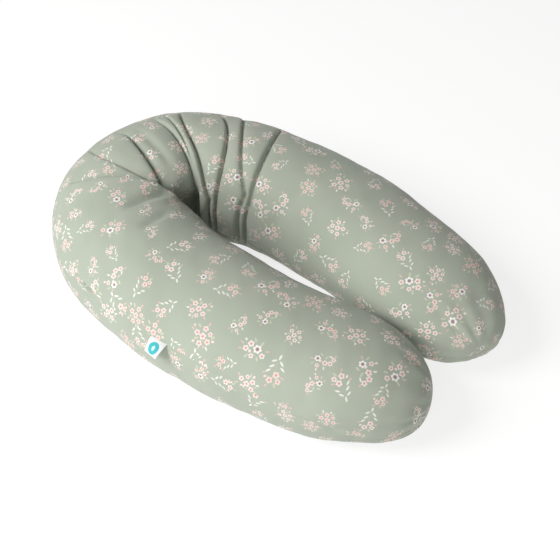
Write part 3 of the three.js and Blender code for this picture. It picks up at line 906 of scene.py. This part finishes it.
def zip_tape(half, up):
    """A thin ribbon along the arc, with a corded edge by the coil and a soft wave."""
    along, t = np.meshgrid(np.linspace(-ZIP_HALF, ZIP_HALF, 260), np.linspace(0, 1, 15), indexing="ij")
    over = up * mix(2.9 * MM, 11.2 * MM, t)
    cord = 0.35 * MM * np.exp(-((t - 0.07) / 0.06) ** 2)
    wave = 0.12 * MM * np.sin(along / (7 * MM)) * t
    outer = zip_place(along, over, 0.3 * MM + cord + wave)
    inner = zip_place(along, over, -0.3 * MM + wave)
    mesh, used = shell(f"tape_{half}", outer, inner, inside_out=up < 0)
    both = np.stack([along, t * 8 * MM], -1).reshape(-1, 2)
    add_map(mesh, "cloth", np.concatenate([both, both])[used][corner_values(mesh)[0]])
    piece = shown(mesh, TAPE)
    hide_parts(f"zip_tape_{half}")
    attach(piece, "right_arm")


def swept_parts(name, points):
    """A mesh of many closed parts from points by part, ring and corner: six corners to a ring, each
    ring joined to the next, both ends capped, and the faces turned outwards."""
    count, rings, corners = points.shape[:3]
    index = np.arange(rings * corners).reshape(rings, corners)
    index = np.concatenate([index, index[:, :1]], axis=1)
    cap = np.array([[0, 1, 2, 3], [3, 4, 5, 0]])
    one = np.concatenate([grid_quads(index), cap[:, ::-1], cap + (rings - 1) * corners])
    quads = (one[None] + (np.arange(count) * rings * corners)[:, None, None]).reshape(-1, 4)
    mesh = mesh_of(name, points.reshape(-1, 3), quads)
    held = bmesh.new()
    held.from_mesh(mesh)
    bmesh.ops.recalc_face_normals(held, faces=held.faces)
    held.to_mesh(mesh)
    held.free()
    return mesh


def zip_teeth(half_name, up):
    """Loops of nylon, one after another: each is a six-cornered ring swept round just over half an
    ellipse, which wraps its own tape edge."""
    half = ZIP_HALF - 3.4 * MM
    count = int(2 * half / TOOTH_PITCH)
    starts = -half + TOOTH_PITCH * (np.arange(count) + (0.75 if up > 0 else 0.25))
    bend = np.linspace(-0.5, 0.5, 7) * math.pi * 1.1
    ring = np.linspace(0, 2 * math.pi, 6, endpoint=False)
    path_over = up * (1.55 * MM - 0.75 * MM * np.cos(bend))
    path_out = 0.62 * MM * np.sin(bend)
    wire = 0.30 * MM
    along = starts[:, None, None] + wire * 1.3 * np.sin(ring)[None, None]
    over = path_over[:, None] - up * np.cos(bend)[:, None] * wire * np.cos(ring)[None]
    out = path_out[:, None] + np.sin(bend)[:, None] * wire * np.cos(ring)[None]
    points = zip_place(along, over[None], out[None])
    piece = shown(swept_parts(f"teeth_{half_name}", points), NYLON)
    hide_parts(f"zip_coil_{half_name}")
    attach(piece, "right_arm")


def stitches(name, up):
    """Topstitching beside the zip: short rounded thread lengths that dip at both ends."""
    pitch, long, thick = 3.2 * MM, 2.5 * MM, 0.32 * MM
    count = int(2 * ZIP_HALF / pitch)
    centres = ZIP_START + 2 * MM + pitch * np.arange(count)
    t = np.linspace(-1, 1, 7)
    ring = np.linspace(0, 2 * math.pi, 6, endpoint=False)
    length = centres[:, None] + t[None] * long / 2
    angle = outer_seam(length) + up * (ZIP_SLOT + 1.7 * MM) / seam_reach(length)
    proud = -relief(length, angle)
    middle = place(length, angle, proud - 0.25 * MM * np.sqrt(np.maximum(0, 1 - t ** 4)))
    over = place(length, angle + up * 0.5, proud) - place(length, angle, proud)
    over /= np.linalg.norm(over, axis=-1)[..., None]
    ahead = place(length + 0.1 * MM, angle, 0) - place(length, angle, 0)
    ahead /= np.linalg.norm(ahead, axis=-1)[..., None]
    away = np.cross(over, ahead)
    radius = thick * np.sqrt(np.maximum(0.15, 1 - t ** 4))[None, :, None, None]
    points = middle[:, :, None] + radius * (
        over[:, :, None] * np.cos(ring)[None, None, :, None]
        + away[:, :, None] * np.sin(ring)[None, None, :, None]
    )
    piece = shown(swept_parts(name, points), THREAD)
    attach(piece, "right_arm")


for half, up in (("upper", 1), ("lower", -1)):
    zip_tape(half, up)
    zip_teeth(half, up)
    stitches(f"zip_stitches_{half}", up)

for node in ("zip_slider", "zip_pull", "zip_top_stop_upper", "zip_top_stop_lower", "zip_bottom_stop"):
    for material_slot in frame["nodes"][node].material_slots:
        material_slot.material = ZINC

# ---------------------------------------------------------------- floor and light

floor_mesh = bpy.data.meshes.new("floor")
floor_mesh.from_pydata([(-6, -6, 0), (6, -6, 0), (6, 6, 0), (-6, 6, 0)], [], [(0, 1, 2, 3)])
floor = bpy.data.objects.new("floor", floor_mesh)
bpy.context.scene.collection.objects.link(floor)
paper = Finish("pale_floor", Roughness=0.95)
paper.shader.inputs["Base Color"].default_value = (0.3, 0.3, 0.3, 1)
paper.shader.inputs["Emission Color"].default_value = (1, 1, 1, 1)
paper.shader.inputs["Emission Strength"].default_value = 0.74
paper.shader.inputs["Specular IOR Level"].default_value = 0.1
floor_mesh.materials.append(paper.material)
floor.location.z = -0.6 * MM


def softbox(name, place_at, size, power, aim=(0, 0, 0.08)):
    """A square light that faces the pillow."""
    lamp = bpy.data.lights.new(name, "AREA")
    lamp.shape, lamp.size, lamp.energy = "SQUARE", size, power
    thing = bpy.data.objects.new(name, lamp)
    bpy.context.scene.collection.objects.link(thing)
    thing.location = place_at
    thing.rotation_euler = (Vector(aim) - Vector(place_at)).to_track_quat("-Z", "Y").to_euler()


softbox("key_light", (-1.65, 1.05, 1.85), 1.3, 64)
softbox("fill_light", (-1.7, -0.8, 0.95), 1.3, 12)
world = bpy.data.worlds.new("studio")
world.use_nodes = True
world.node_tree.nodes["Background"].inputs["Color"].default_value = (1, 0.99, 0.96, 1)
world.node_tree.nodes["Background"].inputs["Strength"].default_value = 0.33
bpy.context.scene.world = world
bpy.context.scene.view_settings.view_transform = "Standard"
